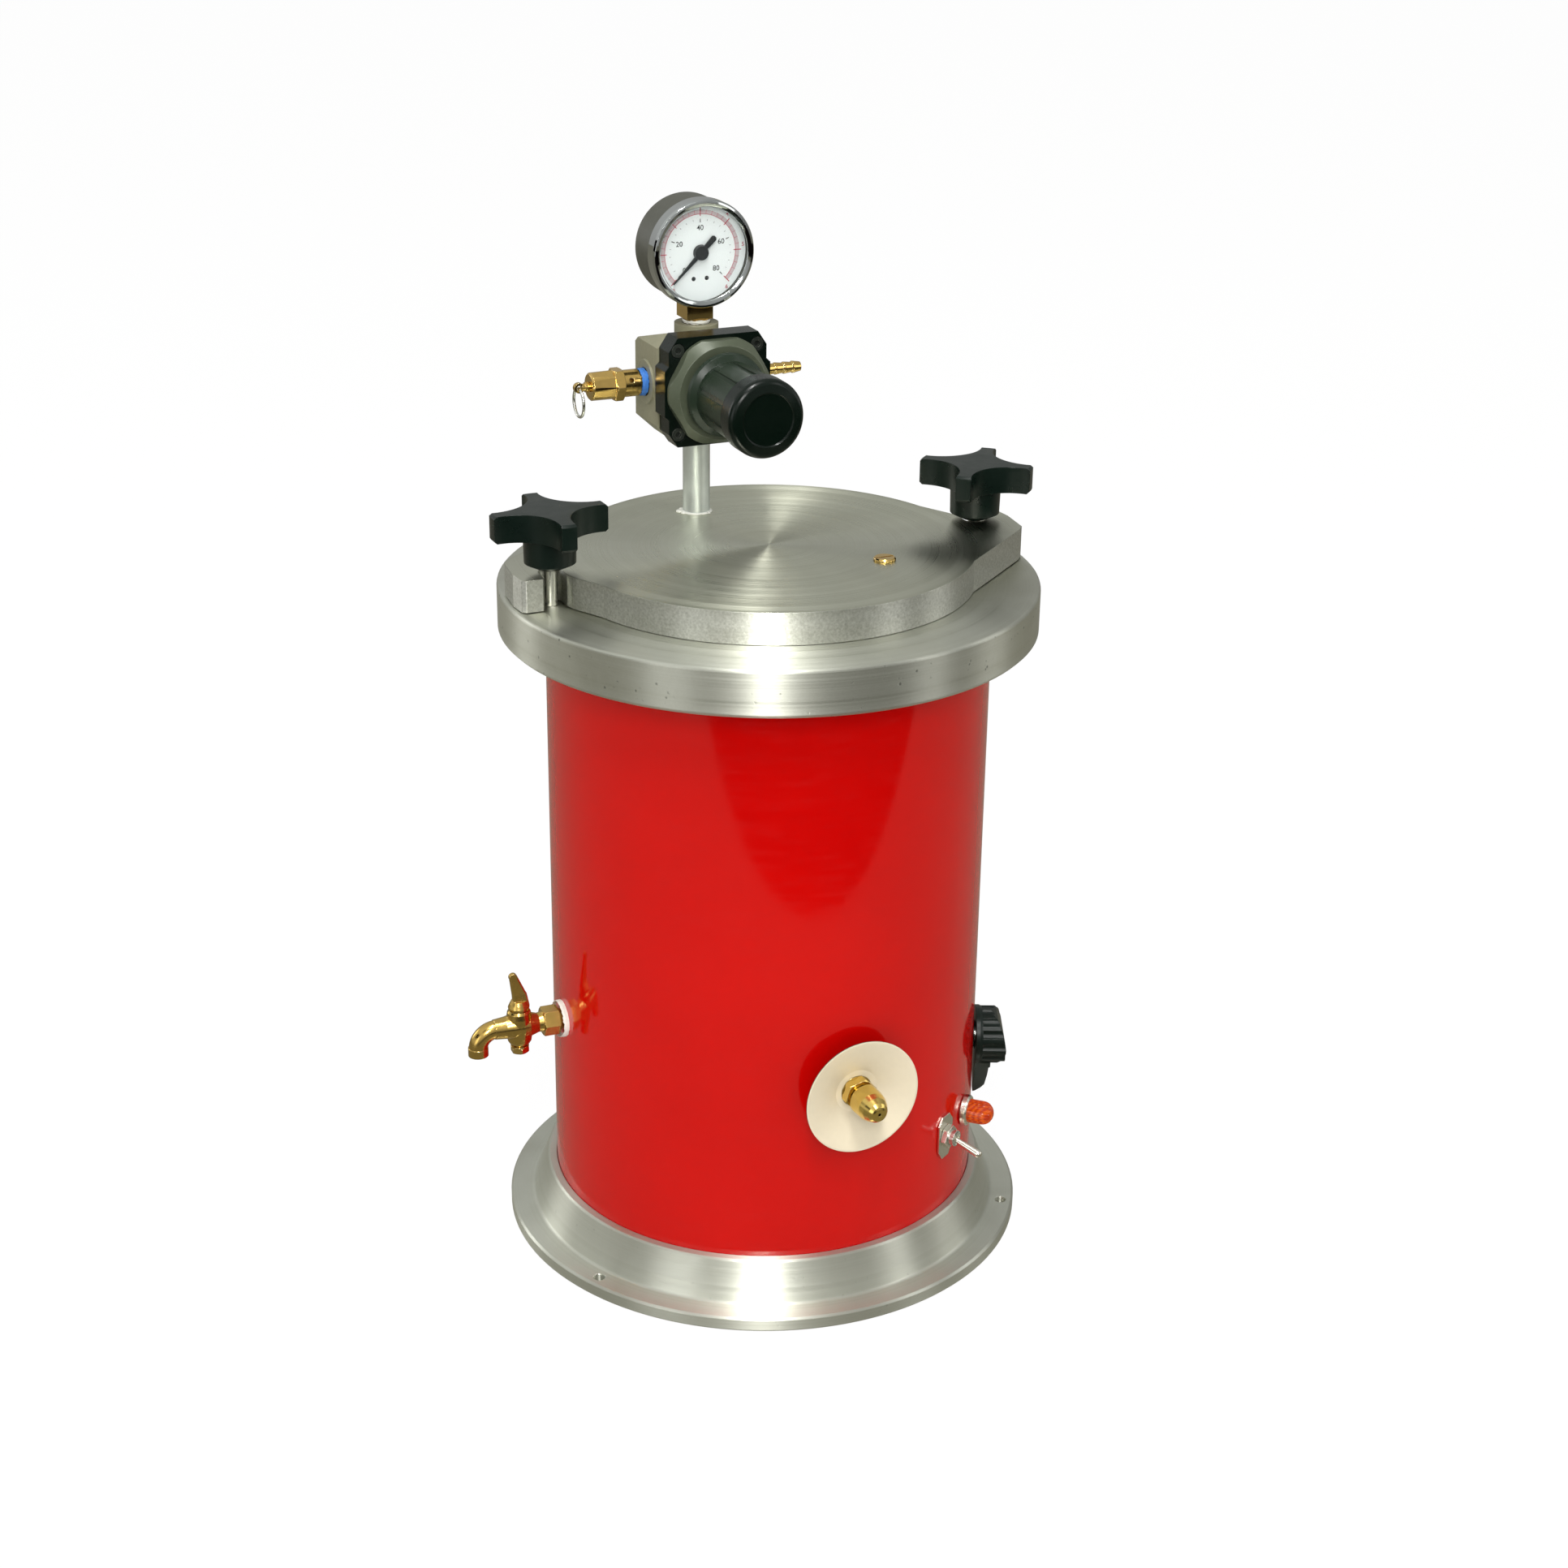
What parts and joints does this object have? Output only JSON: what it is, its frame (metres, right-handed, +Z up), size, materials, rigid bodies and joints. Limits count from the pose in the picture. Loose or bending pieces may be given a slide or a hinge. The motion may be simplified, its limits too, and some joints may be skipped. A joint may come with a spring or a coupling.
{
  "type": "wax injector",
  "caption": "Heated, air-pressured tank that melts wax and injects it through a sprung nozzle, with a clamped lid, regulator, gauge, drain cock and thermostat.",
  "frame": {"origin": "centre of the base plate's underside, on the bench", "axes": "+Z up the tank's axis, -Y towards the nozzle, +X to the right as seen from the nozzle side"},
  "size_m": [0.2226, 0.2043, 0.3925],
  "materials": {
    "machined_aluminium": "lathe turned, satin",
    "red_paint": "gloss",
    "brass": "machined, slightly dull",
    "plated_nut": "dull",
    "steel": "satin",
    "chrome": "polished",
    "zinc_pipe": "zinc plated",
    "heater_metal": "plain",
    "insulation": "glass wool",
    "black_rubber": "matt",
    "cream_plastic": "satin",
    "white_nylon": "satin",
    "blue_tape": "thread sealing tape",
    "black_plastic": "satin",
    "dark_paint": "satin",
    "olive_metal": "satin",
    "orange_lens": "clear tint",
    "white_dial": "printed scale",
    "clear_glass": "clear"
  },
  "bodies": {
    "tank": {"base_flange": "machined_aluminium", "bottom_cover": "steel", "bottom_screws": "steel", "outer_shell": "red_paint", "top_flange": "machined_aluminium", "wax_pot": "machined_aluminium", "heater_plate": "heater_metal", "heater_clamp_bar": "steel", "heater_clamp_screw": "steel", "insulation_sleeve": "insulation", "cord_grommet": "black_rubber", "nozzle_adapter": "brass", "nozzle_shield": "cream_plastic", "nozzle_spring": "steel", "drain_washer": "white_nylon", "drain_body": "brass", "switch_body": "black_plastic", "switch_plate": "steel", "switch_nut": "steel", "lamp_body": "white_nylon", "lamp_bezel": "chrome", "lamp_nut": "steel", "lamp_lens": "orange_lens", "thermostat_body": "black_plastic", "lid_gasket": "black_rubber", "left_stud": "steel", "right_stud": "steel"},
    "lid": {"lid": "machined_aluminium", "lid_plug": "brass", "air_pipe": "zinc_pipe", "regulator_body": "olive_metal", "bonnet_plate": "black_plastic", "bonnet_screws": "plated_nut", "bonnet_nut": "olive_metal", "hose_barb": "brass", "safety_valve_body": "brass", "valve_tape": "blue_tape", "gauge_stem": "brass", "gauge_tape": "white_nylon", "gauge_case": "dark_paint", "gauge_dial": "white_dial", "gauge_lens": "clear_glass", "gauge_bezel": "chrome"},
    "left_knob": {"left_knob": "black_plastic"},
    "right_knob": {"right_knob": "black_plastic"},
    "regulator_knob": {"regulator_knob": "dark_paint", "knob_cap": "black_plastic"},
    "gauge_needle": {"gauge_needle": "black_plastic"},
    "safety_stem": {"safety_stem": "brass"},
    "pull_ring": {"pull_ring": "steel"},
    "nozzle_tip": {"nozzle_tip": "brass"},
    "drain_plug": {"drain_plug": "brass", "drain_nut": "plated_nut"},
    "switch_lever": {"switch_lever": "steel"},
    "thermostat_knob": {"thermostat_knob": "black_plastic", "thermostat_shaft": "steel"}
  },
  "joints": [
    {"name": "lid_turn", "type": "hinge", "parent": "tank", "child": "lid", "pos_m": [0, 0, 0.2618], "axis": [0, 0, 1], "range_deg": [-28, 0]},
    {"name": "left_knob_turn", "type": "hinge", "parent": "tank", "child": "left_knob", "pos_m": [-0.0848, 0, 0.2736], "axis": [0, 0, 1], "continuous": true},
    {"name": "right_knob_turn", "type": "hinge", "parent": "tank", "child": "right_knob", "pos_m": [0.0848, 0, 0.2736], "axis": [0, 0, 1], "continuous": true},
    {"name": "regulator_knob_turn", "type": "hinge", "parent": "lid", "child": "regulator_knob", "pos_m": [-0.0088, 0.0201, 0.3256], "axis": [0, -1, 0], "range_deg": [-720, 720]},
    {"name": "gauge_needle_turn", "type": "hinge", "parent": "lid", "child": "gauge_needle", "pos_m": [-0.0088, 0.0445, 0.3726], "axis": [0, 1, 0], "range_deg": [0, 270]},
    {"name": "safety_pull", "type": "slide", "parent": "lid", "child": "safety_stem", "axis": [-1, 0, 0], "range_m": [0, 0.003], "stiffness_N_per_m": 800, "springref_m": -0.0005},
    {"name": "ring_swing", "type": "hinge", "parent": "safety_stem", "child": "pull_ring", "pos_m": [-0.0554, 0.0485, 0.3256], "axis": [0, 1, 0], "range_deg": [-50, 80]},
    {"name": "nozzle_press", "type": "slide", "parent": "tank", "child": "nozzle_tip", "axis": [0, 1, 0], "range_m": [0, 0.002], "stiffness_N_per_m": 900, "springref_m": -0.002, "deforming": ["nozzle_spring"]},
    {"name": "drain_turn", "type": "hinge", "parent": "tank", "child": "drain_plug", "pos_m": [-0.09985, 0.00436, 0.0932], "axis": [0, 0, 1], "range_deg": [0, 90]},
    {"name": "switch_toggle", "type": "hinge", "parent": "tank", "child": "switch_lever", "pos_m": [0.0467, -0.07192, 0.0522], "axis": [-0.8387, -0.5446, 0], "range_deg": [0, 34]},
    {"name": "thermostat_turn", "type": "hinge", "parent": "tank", "child": "thermostat_knob", "pos_m": [0.07541, -0.03358, 0.0717], "axis": [0.9135, -0.4067, 0], "range_deg": [-150, 150]}
  ]
}
